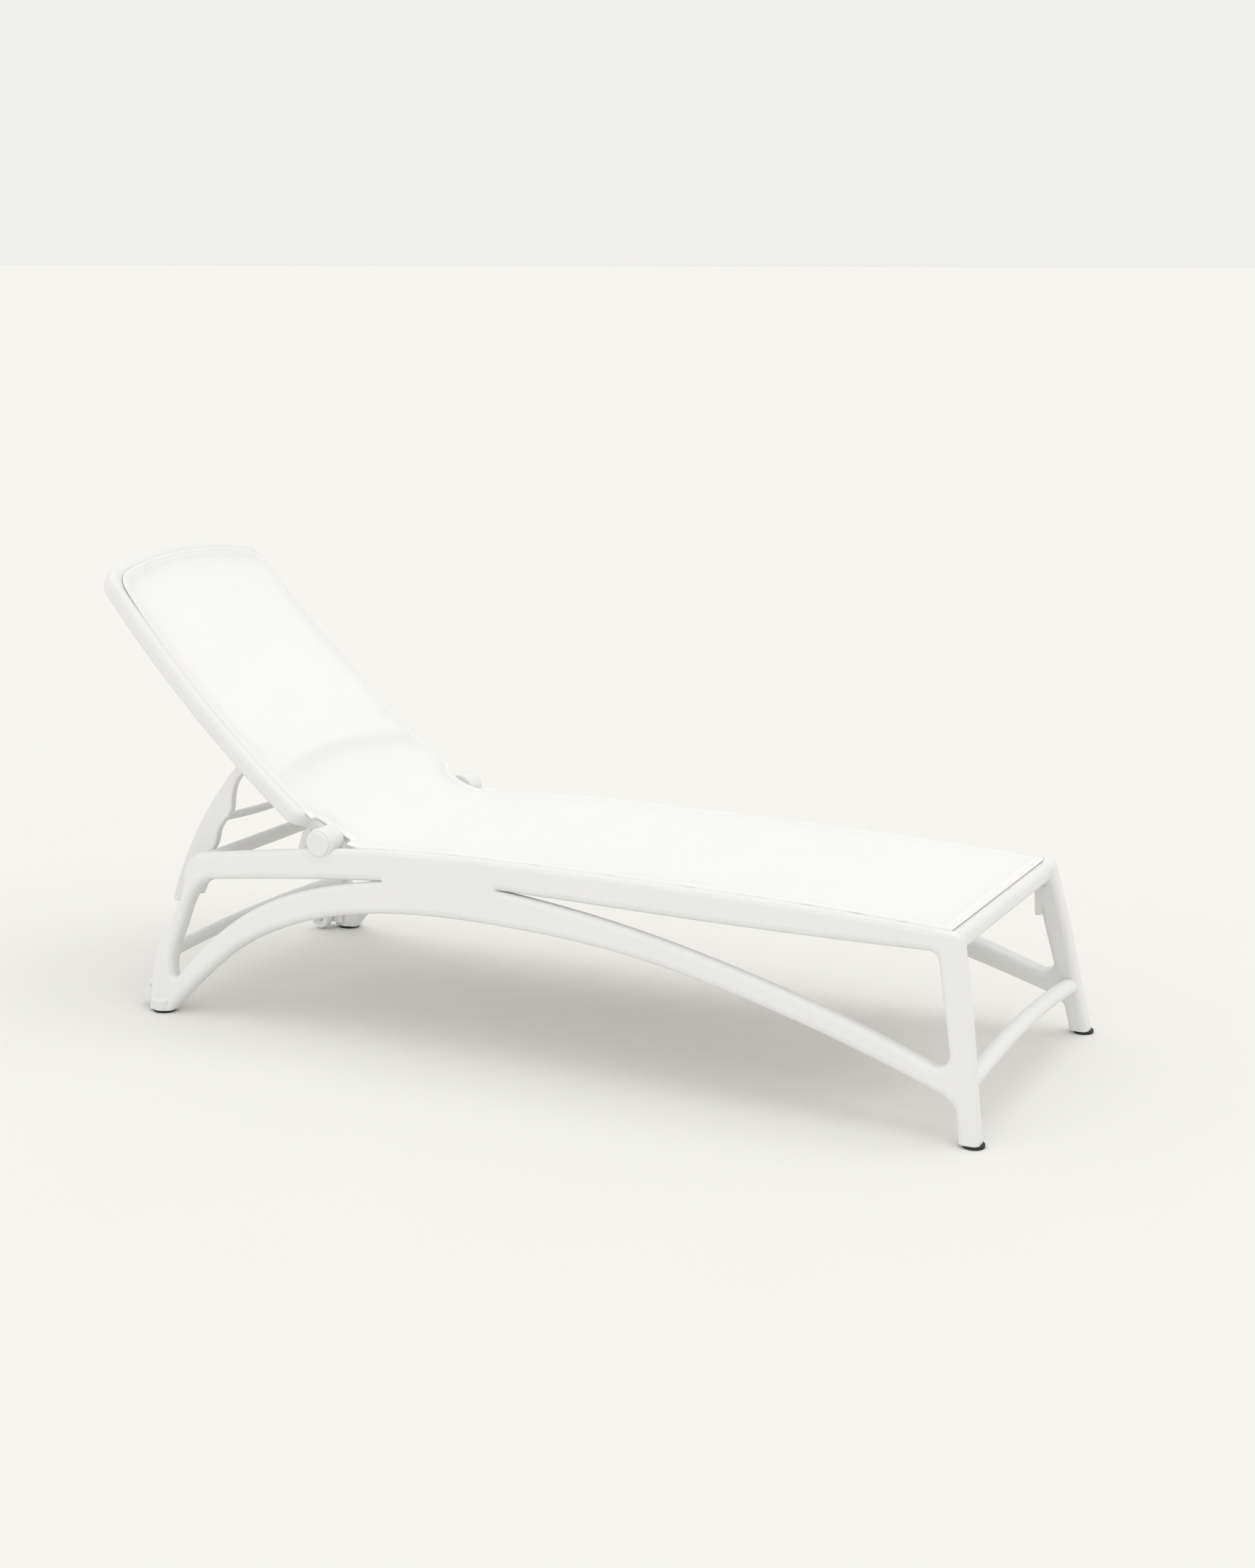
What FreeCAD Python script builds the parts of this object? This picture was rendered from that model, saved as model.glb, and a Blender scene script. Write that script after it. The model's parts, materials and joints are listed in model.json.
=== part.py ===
import FreeCAD, Part
import math
import os

# Reclining sun lounger: two leaning side mouldings joined by plugged-in cross members, a hinged back with
# a sling held in edge grooves, a swinging prop that leans on the rear cross member, and two small wheels.
# Frame: +X towards the foot end, +Y to the sitter's left, +Z up. Origin on the floor, mid length, mid width.

# ---- overall sizes (mm) ----
frame_length = 1732.0      # rear foot edge to front foot edge
rail_height = 375.0        # highest point of the seat rail
feet_width = 722.0         # across the outer faces of the side frames at the floor
back_length = 745.0        # hinge axis to the crown of the back
back_angle = 43.3          # angle of the back's chord above level at rest

# ---- side mouldings ----
lean = 11.0                # each side frame leans in towards the seat, degrees
plate = 38.0               # thickness across
edge_r = 12.0              # rounding of all long edges
pad_thick = 6.0            # rubber pads under the feet
front_pad_r = 19.5
rear_pad_r = 22.0
ankle_r = 26.0             # round ankle above each rear pad
ankle_h = 24.0
lug_thick = 12.0           # stacking lugs inside each leg, below the rail

# ---- cross members ----
foot_bar = (42.0, 37.0)    # front bar section: along X, along Z
foot_bar_r = 14.0
head_bar_r = 14.0
foot_stretch_r = 15.5
head_stretch_r = 13.0
foot_rise = 19.0           # how far the front stretcher arches up at mid width
head_rise = 10.0
spigot_r = 8.0             # plug on each bar end
spigot_len = 12.0
plug_gap = 0.05

# ---- hinge ----
pin_r = 6.0
ear_r = 29.0
knuckle_r = 16.0
run_gap = 0.05             # radial clearance of every turning fit
side_gap = 0.5             # clearance beside a turning part

# ---- back frame ----
back_half = 288.0          # half width over the back frame, at its hinge end
back_taper = 26.0          # the half width lost at its head end
back_bow = 27.0            # sag of its side profile below the chord
back_rail = 45.0           # width of its tube
back_thick = 36.0
back_lift = -3.0           # tube centre above the hinge axis, at the hinge
jog = (47.0, 72.0)         # where the tube steps out behind the hinge ears
relief = ((-20.0, -6.0), (120.0, -37.4))   # underside cut where it lies on the rail when lowered
crown = 36.0               # rise of the arched top
corner_r = 48.0
back_bar = (44.0, 22.0)    # lower bar of the back: width, thickness
back_bar_at = 150.0        # hinge axis to its middle, at the tubes
back_bar_bow = 36.0

# ---- slings and edge strips ----
sling_t = 1.6
strip = 4.0                # square edge strip in its groove
groove_inset = 19.0        # groove from the outer edge of the back frame
groove_start = 76.0        # hinge axis to the near end of the back's groove
seat_groove_y = 6.0        # groove from the middle of the side moulding, towards the outside
foot_groove = 18.0         # groove behind the front face of the front bar
sling_gap = 0.3

# ---- prop ----
prop_reach = 235.0         # hinge axis to prop pivot along the back
prop_length = 375.0
prop_thick = 18.0
prop_pin_r = 5.0
prop_pin_grip = 22.0       # how far each pin goes into the back's tube
prop_bar_r = 8.0
prop_bar_bow = 14.0        # the grip bar bows down at mid width
prop_gap = 4.0             # arm to rear cross member at rest: the opened contact
prop_front = 9.0           # front edge of the arm from its axis, at the rest notch

# ---- wheels ----
wheel_r = 24.0
wheel_w = 22.0
axle_r = 4.5
axle_boss_r = 11.0

V = FreeCAD.Vector
cos_lean = math.cos(math.radians(lean))
sin_lean = math.sin(math.radians(lean))
sx = frame_length / 1732.0
sz = rail_height / 375.0
mid_y = feet_width / 2 - plate / 2 * cos_lean
hinge = V(-393 * sx, 0, 370 * sz)
head_at = V(-672 * sx, 0, 303 * sz)
foot_at = V(872 * sx, 0, 332.5 * sz)
foot_stretch_at = V(924 * sx, 0, 98 * sz)
head_stretch_at = V(-739 * sx, 0, 115 * sz)
wheel_at = V(-784 * sx, 0, wheel_r + 2.5)
rear_pad_x = -738 * sx
front_pad_x = 946 * sx


def plate_mid(z):
    """Distance of the side moulding's middle plane from mid width, at height z."""
    return mid_y - z * sin_lean / cos_lean


def inner_face(z):
    """Distance of the moulding's inner face from mid width, at height z."""
    return plate_mid(z) - plate / 2 / cos_lean


def outer_face(z):
    """Distance of the moulding's outer face from mid width, at height z."""
    return plate_mid(z) + plate / 2 / cos_lean


# ---- small geometry helpers ----
def at(x, z):
    """Point of the side profile, drawn upright before the moulding is leaned."""
    return V(x * sx, 0, z * sz / cos_lean)


def curve(points):
    spline = Part.BSplineCurve()
    spline.interpolate(points)
    return spline.toShape()


def run(points):
    """Straight edges through the points."""
    return [Part.makeLine(a, b) for a, b in zip(points, points[1:])]


def face_of(edges):
    return Part.Face(Part.Wire(Part.__sortEdges__(edges)))


def slab(face, direction, depth):
    """Face extruded equally to both sides along a unit direction."""
    face = face.copy()
    face.translate(direction * (-depth / 2))
    return face.extrude(direction * depth)


def edges_at(solid, direction, points, tol=0.6):
    """Straight edges parallel to a direction that pass through one of the points."""
    found = []
    for edge in solid.Edges:
        if len(edge.Vertexes) != 2:
            continue
        a = edge.Vertexes[0].Point
        way = edge.Vertexes[1].Point - a
        if way.Length < 1 or way.normalize().cross(direction).Length > 1e-4:
            continue
        for p in points:
            gap = a - p
            if (gap - direction * gap.dot(direction)).Length < tol:
                found.append(edge)
                break
    return found


def edges_on(solid, direction, level, tol=0.01):
    """Edges lying wholly at one level along a direction."""
    found = []
    for edge in solid.Edges:
        box = edge.BoundBox
        low = V(box.XMin, box.YMin, box.ZMin).dot(direction)
        high = V(box.XMax, box.YMax, box.ZMax).dot(direction)
        if abs(low - level) < tol and abs(high - level) < tol:
            found.append(edge)
    return found


def cyl(r, start, end):
    return Part.makeCylinder(r, (end - start).Length, start, end - start)


def mirrored(shape):
    return shape.mirror(V(0, 0, 0), V(0, 1, 0))


def one(shape):
    """The single solid of a boolean result."""
    return shape.removeSplitter().Solids[0]


def pair(shape):
    return Part.makeCompound([shape, mirrored(shape)])


def save(name, shape):
    shape.exportStep(os.path.join("parts", name + ".step"))


# ---- side profile ----
def rail_top():
    """Upper line of the seat rail, head end first."""
    return [(-666, 321), (-473, 347), (-338, 362), (-162, 373), (12, 375), (340, 372), (664, 364), (873, 353)]


def rail_line(drop, flat=True):
    """Rail top line as an edge, lowered by drop; flat gives it before the lean."""
    if flat:
        return curve([at(x, z) - V(0, 0, drop) for x, z in rail_top()])
    return curve([V(x * sx, 0, z * sz - drop) for x, z in rail_top()])


def outer_profile():
    top = [at(x, z) for x, z in rail_top()]
    nose = Part.Arc(top[0], at(-697, 304), at(-709, 263)).toShape()
    rear = curve([at(-709, 263), at(-736, 175), at(-760, 122), at(-766, 88), at(-767, 40), at(-767, -30)])
    arch = curve([at(-712, 6), at(-666, 56), at(-569, 144), at(-456, 202), at(-325, 238),
                  at(-132, 257), at(24, 256), at(251, 239), at(472, 199), at(685, 144), at(885, 80)])
    front = run([at(965, -30), at(924, 214), at(895, 353), top[-1]])
    feet = run([at(-767, -30), at(-712, -30), at(-712, 6)])
    leg = run([at(885, 80), at(912, 62), at(927, -30), at(965, -30)])
    return face_of([rail_line(0), nose, rear, arch] + front + feet + leg)


def head_opening():
    roof = curve([at(-650, 269), at(-431, 294), at(-255, 310)])
    sill = curve([at(-255, 310), at(-299, 303), at(-412, 277), at(-543, 221), at(-623, 161), at(-711, 64)])
    leg = curve([at(-711, 64), at(-720, 97), at(-703, 175), at(-677, 245), at(-650, 269)])
    return face_of([roof, sill, leg])


def foot_opening():
    roof = curve([at(-1, 321), at(245, 317), at(462, 314), at(668, 314), at(856, 316)])
    sill = curve([at(-1, 321), at(122, 308), at(247, 290), at(468, 245), at(679, 189), at(900, 113)])
    leg = run([at(856, 316), at(900, 113)])
    return face_of([roof, sill] + leg)


def lean_over(shape):
    """Take a shape drawn in the upright middle plane to the left side frame."""
    shape = shape.copy()
    shape.rotate(V(0, 0, 0), V(1, 0, 0), lean)
    shape.translate(V(0, mid_y, 0))
    return shape


def moulding():
    """Flat side moulding with its openings, long edges rounded."""
    y = V(0, 1, 0)
    body = slab(outer_profile(), y, plate)
    for opening in (head_opening(), foot_opening()):
        body = body.cut(slab(opening, y, plate * 2))
    body = body.makeFillet(20, edges_at(body, y, [at(856, 316), at(900, 113)]))
    body = body.makeFillet(28, edges_at(body, y, [at(885, 80), at(912, 62)]))
    body = body.makeFillet(14, edges_at(body, y, [at(-712, 6)]))
    body = body.makeFillet(16, edges_at(body, y, [at(873, 353), at(895, 353)]))
    body = body.makeFillet(7, edges_at(body, y, [at(-711, 64)]))
    for side in (-plate / 2, plate / 2):
        for loop in (2, 1, 0):
            body = body.makeFillet(edge_r, rim(body, side, loop))
    return body


def rim(body, side, loop):
    """Edges of one loop on a flat side, longest loop first, without those under the floor."""
    level = [f for f in body.Faces if f.BoundBox.YLength < 0.01 and abs(f.BoundBox.YMax - side) < 0.01]
    wires = sorted(level[0].Wires, key=lambda w: -w.Length)
    return [e for e in wires[loop].Edges if e.BoundBox.ZMin > -29 * sz or e.BoundBox.ZLength > 1]


def seat_strip_band(extra):
    """Band following the rail top, as deep and wide as the edge strip plus extra."""
    upper = rail_line(-1.0)
    lower = rail_line(strip + extra)
    ends = [Part.makeLine(upper.Vertexes[i].Point, lower.Vertexes[i].Point) for i in (0, 1)]
    band = slab(face_of([upper, lower] + ends), V(0, 1, 0), strip + 2 * extra)
    band.translate(V(0, seat_groove_y, 0))
    return band


def keep_x(shape, low, high):
    box = Part.makeBox(high - low, 2000, 2000, V(low, -1000, -1000))
    return shape.common(box)


# ---- cross members ----
def foot_bar_tube(half):
    """Front bar from side to side, long edges rounded."""
    w, h = foot_bar
    box = Part.makeBox(w, 2 * half, h, foot_at - V(w / 2, half, h / 2))
    return box.makeFillet(foot_bar_r, [e for e in box.Edges if e.BoundBox.YLength > half])


def arched_tube(centre, r, rise, half):
    """Round tube that arches up by rise between its ends."""
    if rise == 0:
        return cyl(r, centre - V(0, half, 0), centre + V(0, half, 0))
    big = (half * half + rise * rise) / (2 * rise)
    hub = centre + V(0, 0, rise - big)
    span = math.degrees(math.asin(half / big))
    ring = Part.makeCircle(r, hub + V(0, 0, big), V(0, 1, 0))
    ring.rotate(hub, V(1, 0, 0), -span)
    return Part.Face(Part.Wire(ring)).revolve(hub, V(1, 0, 0), 2 * span)


def between(shape, half):
    return shape.common(Part.makeBox(3000, 2 * half, 3000, V(-1500, -half, -1500)))


def beyond(shape, half):
    return shape.common(Part.makeBox(3000, 1000, 3000, V(-1500, half, -1500)))


def members():
    """Every cross member: name, full tube, joint distance from mid width, plug height."""
    rows = []
    for name, centre, r, rise in (("head_crossbar", head_at, head_bar_r, 0.0),
                                  ("head_stretcher", head_stretch_at, head_stretch_r, head_rise),
                                  ("foot_stretcher", foot_stretch_at, foot_stretch_r, foot_rise)):
        half = plate_mid(centre.z)
        joint = inner_face(centre.z) - 9
        drop = rise * (joint / half) ** 2
        rows.append((name, arched_tube(centre, r, rise, half), joint, centre + V(0, 0, rise - drop)))
    joint = inner_face(foot_at.z) - 9
    rows.append(("foot_crossbar", foot_bar_tube(plate_mid(foot_at.z)), joint, foot_at))
    return rows


def cross_member(tube, joint, centre):
    """Middle stretch of a tube with a round plug on each end."""
    plug = cyl(spigot_r, centre + V(0, joint - 4, 0), centre + V(0, joint + spigot_len, 0))
    return one(between(tube, joint).fuse([plug, mirrored(plug)]))


def foot_groove_cut(extra):
    x = foot_at.x + foot_bar[0] / 2 - foot_groove
    top = foot_at.z + foot_bar[1] / 2
    half = inner_face(foot_at.z) - 12
    return Part.makeBox(strip + 2 * extra, 2 * half, strip + extra + 2,
                        V(x - strip / 2 - extra, -half, top - strip - extra))


def foot_crossbar(tube, joint, centre):
    return one(cross_member(tube, joint, centre).cut(foot_groove_cut(0)))


def foot_strip():
    bar = foot_groove_cut(-0.05)
    top = foot_at.z + foot_bar[1] / 2
    return bar.common(Part.makeBox(4000, 4000, 2000, V(-2000, -2000, top - 2000)))


# ---- side frames ----
def hinge_line(y):
    return V(hinge.x, y, hinge.z)


def stacking_lug(x0, x1, z1, depth):
    """Small wedge on the inner face just below the rail, for a stacked lounger to sit on."""
    wedge = Part.Face(Part.makePolygon([V(x0, 0, z1), V(x1, 0, z1), V((x0 + x1) / 2, 0, z1 - depth),
                                        V(x0, 0, z1 - depth), V(x0, 0, z1)]))
    lug = wedge.extrude(V(0, -lug_thick, 0))
    lug.translate(V(0, -plate / 2 + 6, 0))
    return lean_over(lug)


def ankle():
    """Round ankle of the rear leg, just above its pad."""
    base = V(rear_pad_x, plate_mid(0), pad_thick)
    cone = Part.makeCone(rear_pad_r + 2, ankle_r, ankle_h, base)
    return cone.makeFillet(6, [e for e in cone.Edges if e.BoundBox.ZMin > base.z + ankle_h - 1])


def axle_arm():
    """Short arm from the rear leg back to the wheel's axle."""
    y0 = wheel_out + 1
    boss = cyl(axle_boss_r, V(wheel_at.x, y0, wheel_at.z), V(wheel_at.x, plate_mid(0), wheel_at.z))
    web = Part.makeBox(rear_pad_x - wheel_at.x, plate_mid(0) - y0, 2 * axle_boss_r,
                       V(wheel_at.x, y0, wheel_at.z - axle_boss_r))
    return boss.fuse(web)


def pad_hole(x):
    return cyl(5 + plug_gap, V(x, plate_mid(0), pad_thick - 1), V(x, plate_mid(0), pad_thick + 12))


def side_frame():
    """Left side moulding with the hinge ear, bar stubs, axle boss and pad seats."""
    body = lean_over(moulding().cut(seat_strip_band(0)))
    ear = cyl(ear_r, hinge_line(ear_in), hinge_line(ear_out))
    ear = ear.makeFillet(4, edges_on(ear, V(0, 1, 0), ear_out))
    extra = [ear, axle_arm(), ankle(),
             stacking_lug(-694 * sx, -670 * sx, 275 * sz, 34),
             stacking_lug(862 * sx, 884 * sx, 314 * sz, 60)]
    for _, tube, joint, _ in members():
        extra.append(beyond(tube, joint))
    body = body.fuse(extra)
    for _, _, joint, centre in members():
        body = body.cut(cyl(spigot_r + plug_gap, centre + V(0, joint - 5, 0),
                            centre + V(0, joint + spigot_len + 1, 0)))
    body = body.cut(cyl(pin_r, hinge_line(ear_in - 5), hinge_line(ear_out - 8)))
    body = body.cut(cyl(axle_r, V(wheel_at.x, wheel_out - 5, wheel_at.z),
                        V(wheel_at.x, plate_mid(0) - 4, wheel_at.z)))
    body = body.cut(pad_hole(rear_pad_x)).cut(pad_hole(front_pad_x))
    body = body.cut(Part.makeBox(4000, 2000, 500, V(-2000, -1000, pad_thick - 500)))
    return one(body)


def hinge_cap():
    """Domed round cover on the outer face of the hinge ear."""
    cap = cyl(ear_r - 5, hinge_line(ear_out), hinge_line(ear_out + 4))
    return cap.makeFillet(3, edges_on(cap, V(0, 1, 0), ear_out + 4))


def hinge_pin():
    return cyl(pin_r, hinge_line(knuckle_out - back_rail + 6), hinge_line(ear_out - 8.1))


def foot_pad(x, r):
    y = plate_mid(0)
    pad = cyl(r, V(x, y, 0), V(x, y, pad_thick))
    pad = pad.makeFillet(1.5, edges_on(pad, V(0, 0, 1), 0))
    return one(pad.fuse(cyl(5, V(x, y, pad_thick - 1), V(x, y, pad_thick + 11))))


# ---- seat sling and strips ----
def seat_strip():
    band = seat_strip_band(-0.05)
    top = rail_line(0)
    floor = V(0, 0, -60)
    low = rail_line(60)
    ends = [Part.makeLine(top.Vertexes[i].Point, low.Vertexes[i].Point) for i in (0, 1)]
    under = slab(face_of([top, low] + ends), V(0, 1, 0), plate * 2)
    band = keep_x(band.common(under), seat_tail, foot_at.x - 6)
    return one(lean_over(band))


def seat_sling():
    """Sling over the seat, from beside the hinge to the groove in the front bar."""
    lift = (seat_groove_y + strip) * sin_lean + sling_gap
    low = rail_line(-lift, flat=False)
    high = rail_line(-lift - sling_t, flat=False)
    ends = [Part.makeLine(low.Vertexes[i].Point, high.Vertexes[i].Point) for i in (0, 1)]
    half = plate_mid(hinge.z) + seat_groove_y
    sheet = slab(face_of([low, high] + ends), V(0, 1, 0), 2 * half)
    sheet = keep_x(sheet, seat_tail, foot_at.x + foot_bar[0] / 2 - foot_groove)
    return one(sheet)


# ---- back, drawn flat with the head end towards -X and the hinge axis at the origin ----
ear_in = inner_face(hinge.z) - 1
ear_out = outer_face(hinge.z - ear_r) + 0.5
knuckle_out = ear_in - side_gap
wheel_out = inner_face(wheel_at.z + wheel_r) - 2.5
seat_tail = hinge.x + ear_r + 6


def back_half_at(u):
    """Half width over the tapered back frame, u along its chord from the hinge."""
    side = back_length - crown
    return back_half - back_taper * (u - jog[1]) / (side - jog[1])


def back_face(inset, start, stepped):
    """Plan outline of the back, inset all round; a stepped one narrows beside the hinge ears."""
    side = back_length - crown - inset * 0.93
    right = [V(-side, -(back_half_at(side) - inset), 0)]
    if stepped:
        step = knuckle_out - inset
        right = [V(-start, -step, 0), V(-jog[0], -step, 0), V(-jog[1], -(back_half - inset), 0)] + right
    else:
        right = [V(-start, -(back_half_at(start) - inset), 0)] + right
    left = [V(p.x, -p.y, 0) for p in reversed(right)]
    top = Part.Arc(right[-1], V(-back_length + inset, 0, 0), left[0]).toShape()
    return face_of(run(right) + [top] + run(left) + run([left[-1], right[0]])), right + left


def bend_r():
    """Radius of the back's side profile, whose centre is above the chord's middle."""
    return (back_length ** 2 / 4 + back_bow ** 2) / (2 * back_bow)


def sag(u):
    """Depth of the profile below its chord, u along the chord from the hinge."""
    return math.sqrt(bend_r() ** 2 - (u - back_length / 2) ** 2) - bend_r() + back_bow


def bent_band(low, high):
    """Slab between two levels that follows the back's side profile, wider and longer than the back."""
    hub = V(-back_length / 2, 0, bend_r() - back_bow)
    spread = math.asin((back_length / 2 + 80) / bend_r())
    edges = []
    for level in (low, high):
        r = bend_r() - level
        ends = [hub + V(r * math.sin(a), 0, -r * math.cos(a)) for a in (-spread, 0, spread)]
        edges.append(Part.Arc(*ends).toShape())
    for i in (0, 1):
        edges.append(Part.makeLine(edges[0].Vertexes[i].Point, edges[1].Vertexes[i].Point))
    return slab(face_of(edges), V(0, 1, 0), 4 * back_half)


def back_slab(inset, start, low, high, stepped=False):
    """Back's plan cut from the bent band between two levels, its corners rounded."""
    face, points = back_face(inset, start, stepped)
    reach = back_bow + abs(low) + abs(high) + 60
    body = slab(face, V(0, 0, 1), 2 * reach)
    z = V(0, 0, 1)
    if stepped:
        jogs = [p for p in points if -jog[1] - 1 < p.x < -start - 1]
        body = body.makeFillet(25, edges_at(body, z, jogs))
    tops = [p for p in points if p.x < -200]
    body = body.makeFillet(corner_r - inset * 0.5, edges_at(body, z, tops))
    return one(body.common(bent_band(low, high)))


def skin_edges(body, level):
    """Edges of the face that follows the profile at one level."""
    found = []
    for face in body.Faces:
        if isinstance(face.Surface, Part.Cylinder) and abs(face.Surface.Radius - bend_r() + level) < 0.01:
            found.extend(face.Edges)
    return found


def on_back(shape):
    """Place a part drawn on the flat back at its rest angle on the hinge."""
    shape = shape.copy()
    shape.rotate(V(0, 0, 0), V(0, 1, 0), back_angle)
    shape.translate(hinge)
    return shape


def prop_pivot(y):
    """Pivot of the prop in the middle of the back's tube."""
    return V(-prop_reach, y, back_lift - sag(prop_reach))


def back_loop():
    """Closed tube of the back with all its long edges rounded."""
    low = back_lift - back_thick / 2
    high = back_lift + back_thick / 2
    body = back_slab(0, 0, low, high, True).cut(back_slab(back_rail, -30, low - 5, high + 5, True))
    rims = skin_edges(body, low) + skin_edges(body, high)
    return body.makeFillet(edge_r, [e for e in rims if e.BoundBox.XMin < -0.5])


def under_cut():
    """Wedge off the left tube's underside, so that it lies on the rail when the back is lowered."""
    (u0, w0), (u1, w1) = relief
    face = face_of(run([V(-u0, 0, w0), V(-u1, 0, w1), V(-u0, 0, w1 - 40), V(-u0, 0, w0)]))
    return beyond(slab(face, V(0, 1, 0), 4 * back_half), knuckle_out)


def back_frame():
    """Loop of the back with its knuckles, sling groove and pivot holes."""
    inner = knuckle_out - back_rail
    knuckle = cyl(knuckle_r, V(0, inner, 0), V(0, knuckle_out, 0))
    knuckle = knuckle.makeFillet(3, [e for e in knuckle.Edges if e.BoundBox.YLength < 0.1])
    body = back_loop().fuse([knuckle, mirrored(knuckle)])
    body = body.cut(back_ring(0))
    bore = cyl(pin_r + run_gap, V(0, inner + 5, 0), V(0, knuckle_out + 5, 0))
    hole = cyl(prop_pin_r, prop_pivot(prop_half - 2), prop_pivot(prop_half + prop_pin_grip + 1))
    for tool in (under_cut(), bore, hole):
        body = body.cut([tool, mirrored(tool)])
    return one(body)


def back_ring(extra):
    """Band that fills the groove for the back's edge strip."""
    top = back_lift + back_thick / 2
    low = top - strip - extra
    outer = back_slab(groove_inset - strip / 2 - extra, groove_start - extra, low, top + 2)
    inner = back_slab(groove_inset + strip / 2 + extra, groove_start - 20, low - 1, top + 3)
    return outer.cut(inner)


def back_strip():
    top = back_lift + back_thick / 2
    return one(back_ring(-0.05).common(bent_band(top - 20, top)))


def back_crossbar():
    """Lower bar of the back, bowed towards the head, under the sling; its plugs come second."""
    w, t = back_bar
    u = back_bar_at
    half = back_half_at(u) - back_rail + 4
    low = back_lift - back_thick / 2 + 4 - sag(u)
    rows = []
    for x in (-u + w / 2, -u - w / 2):
        rows.append(Part.Arc(V(x, -half, low), V(x - back_bar_bow, 0, low), V(x, half, low)).toShape())
    for y in (-half, half):
        rows += run([V(-u + w / 2, y, low), V(-u - w / 2, y, low)])
    bar = face_of(rows).extrude(V(0, 0, t))
    bar = bar.makeFillet(8, [e for e in bar.Edges if e.BoundBox.YLength > half])
    bar = one(bar.cut(back_loop()))
    plugs = []
    for v in (-1, 1):
        plugs.append(cyl(7, V(-u, v * (half - 12), low + t / 2), V(-u, v * (half + 10), low + t / 2)))
    return one(bar.fuse(plugs)), plugs


def back_sling():
    """Sling over the back, from beside the hinge to the groove under the crown."""
    low = back_lift + back_thick / 2 + sling_gap
    return back_slab(groove_inset, groove_start, low, low + sling_t)


# ---- prop, drawn with its pivot at the origin, +X along the arm and +Z to its front ----
prop_half = back_half_at(prop_reach + 20) - back_rail - 1


def prop_angle():
    """Slope of the arm's axis at rest, so that its notch stands prop_gap behind the rear bar."""
    a = math.radians(back_angle)
    at_back = prop_pivot(0)
    pivot = V(at_back.x * math.cos(a) + at_back.z * math.sin(a), 0,
              -at_back.x * math.sin(a) + at_back.z * math.cos(a)) + hinge
    way = head_at - pivot
    offset = prop_front + head_bar_r + prop_gap
    slope = math.atan2(way.z, way.x) - math.asin(offset / way.Length)
    return pivot, math.degrees(slope), math.sqrt(way.Length ** 2 - offset ** 2)


def prop_arm():
    """Curved arm with resting notches along its front edge."""
    _, _, notch = prop_angle()
    n = prop_length
    k = notch / 226.0
    back = Part.Arc(V(0, 0, -15), V(n / 2, 0, -42), V(n - 6, 0, -24)).toShape()
    tip = Part.Arc(V(n - 6, 0, -24), V(n, 0, -15), V(n - 7, 0, -6)).toShape()
    front = curve([V(n - 7, 0, -6), V(325 * k, 0, -11), V(285 * k, 0, -18), V(262 * k, 0, -12),
                   V(244 * k, 0, 1), V(notch, 0, prop_front), V(207 * k, 0, prop_front), V(188 * k, 0, 4)])
    upper = curve([V(188 * k, 0, 4), V(165 * k, 0, 3), V(145 * k, 0, 7), V(128 * k, 0, 8),
                   V(110 * k, 0, 1), V(94 * k, 0, -5), V(76 * k, 0, -9), V(52 * k, 0, -7),
                   V(28 * k, 0, 4), V(0, 0, 15)])
    root = Part.Arc(V(0, 0, 15), V(-15, 0, 0), V(0, 0, -15)).toShape()
    arm = slab(face_of([back, tip, front, upper, root]), V(0, 1, 0), prop_thick)
    rims = edges_on(arm, V(0, 1, 0), -prop_thick / 2) + edges_on(arm, V(0, 1, 0), prop_thick / 2)
    arm = arm.makeFillet(4, rims)
    arm.translate(V(0, prop_half - prop_thick / 2, 0))
    bore = cyl(prop_pin_r + run_gap, V(0, prop_half - prop_thick - 5, 0), V(0, prop_half + 5, 0))
    return one(arm.cut([bore, prop_bar_plug(plug_gap)]))


def prop_bar_centre():
    return V(158 * prop_angle()[2] / 226.0, 0, -7)


def prop_bar_plug(extra):
    c = prop_bar_centre()
    return cyl(5 + extra, c + V(0, prop_half - prop_thick - 5, 0), c + V(0, prop_half - 6, 0))


def prop_bar():
    """Bowed grip bar between the two arms, plugged into them."""
    c = prop_bar_centre()
    half = prop_half - prop_thick
    bow = Part.Arc(V(c.x, -half, c.z), V(c.x + prop_bar_bow, 0, c.z), V(c.x, half, c.z)).toShape()
    ring = Part.Wire(Part.makeCircle(prop_bar_r, V(c.x, -half, c.z), V(0, 1, 0)))
    tube = Part.Wire(bow).makePipeShell([ring], True, True)
    tube = between(tube, half)
    plug = prop_bar_plug(0)
    return one(tube.fuse([plug, mirrored(plug)]))


def on_prop(shape):
    pivot, slope, _ = prop_angle()
    shape = shape.copy()
    shape.rotate(V(0, 0, 0), V(0, 1, 0), -slope)
    shape.translate(pivot)
    return shape


def prop_pin():
    """Headed pin from the arm into the back's rail."""
    head = cyl(9, prop_pivot(prop_half - prop_thick - side_gap - 3), prop_pivot(prop_half - prop_thick - side_gap))
    shank = cyl(prop_pin_r, prop_pivot(prop_half - prop_thick - 2), prop_pivot(prop_half + prop_pin_grip))
    return one(head.fuse(shank))


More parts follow.
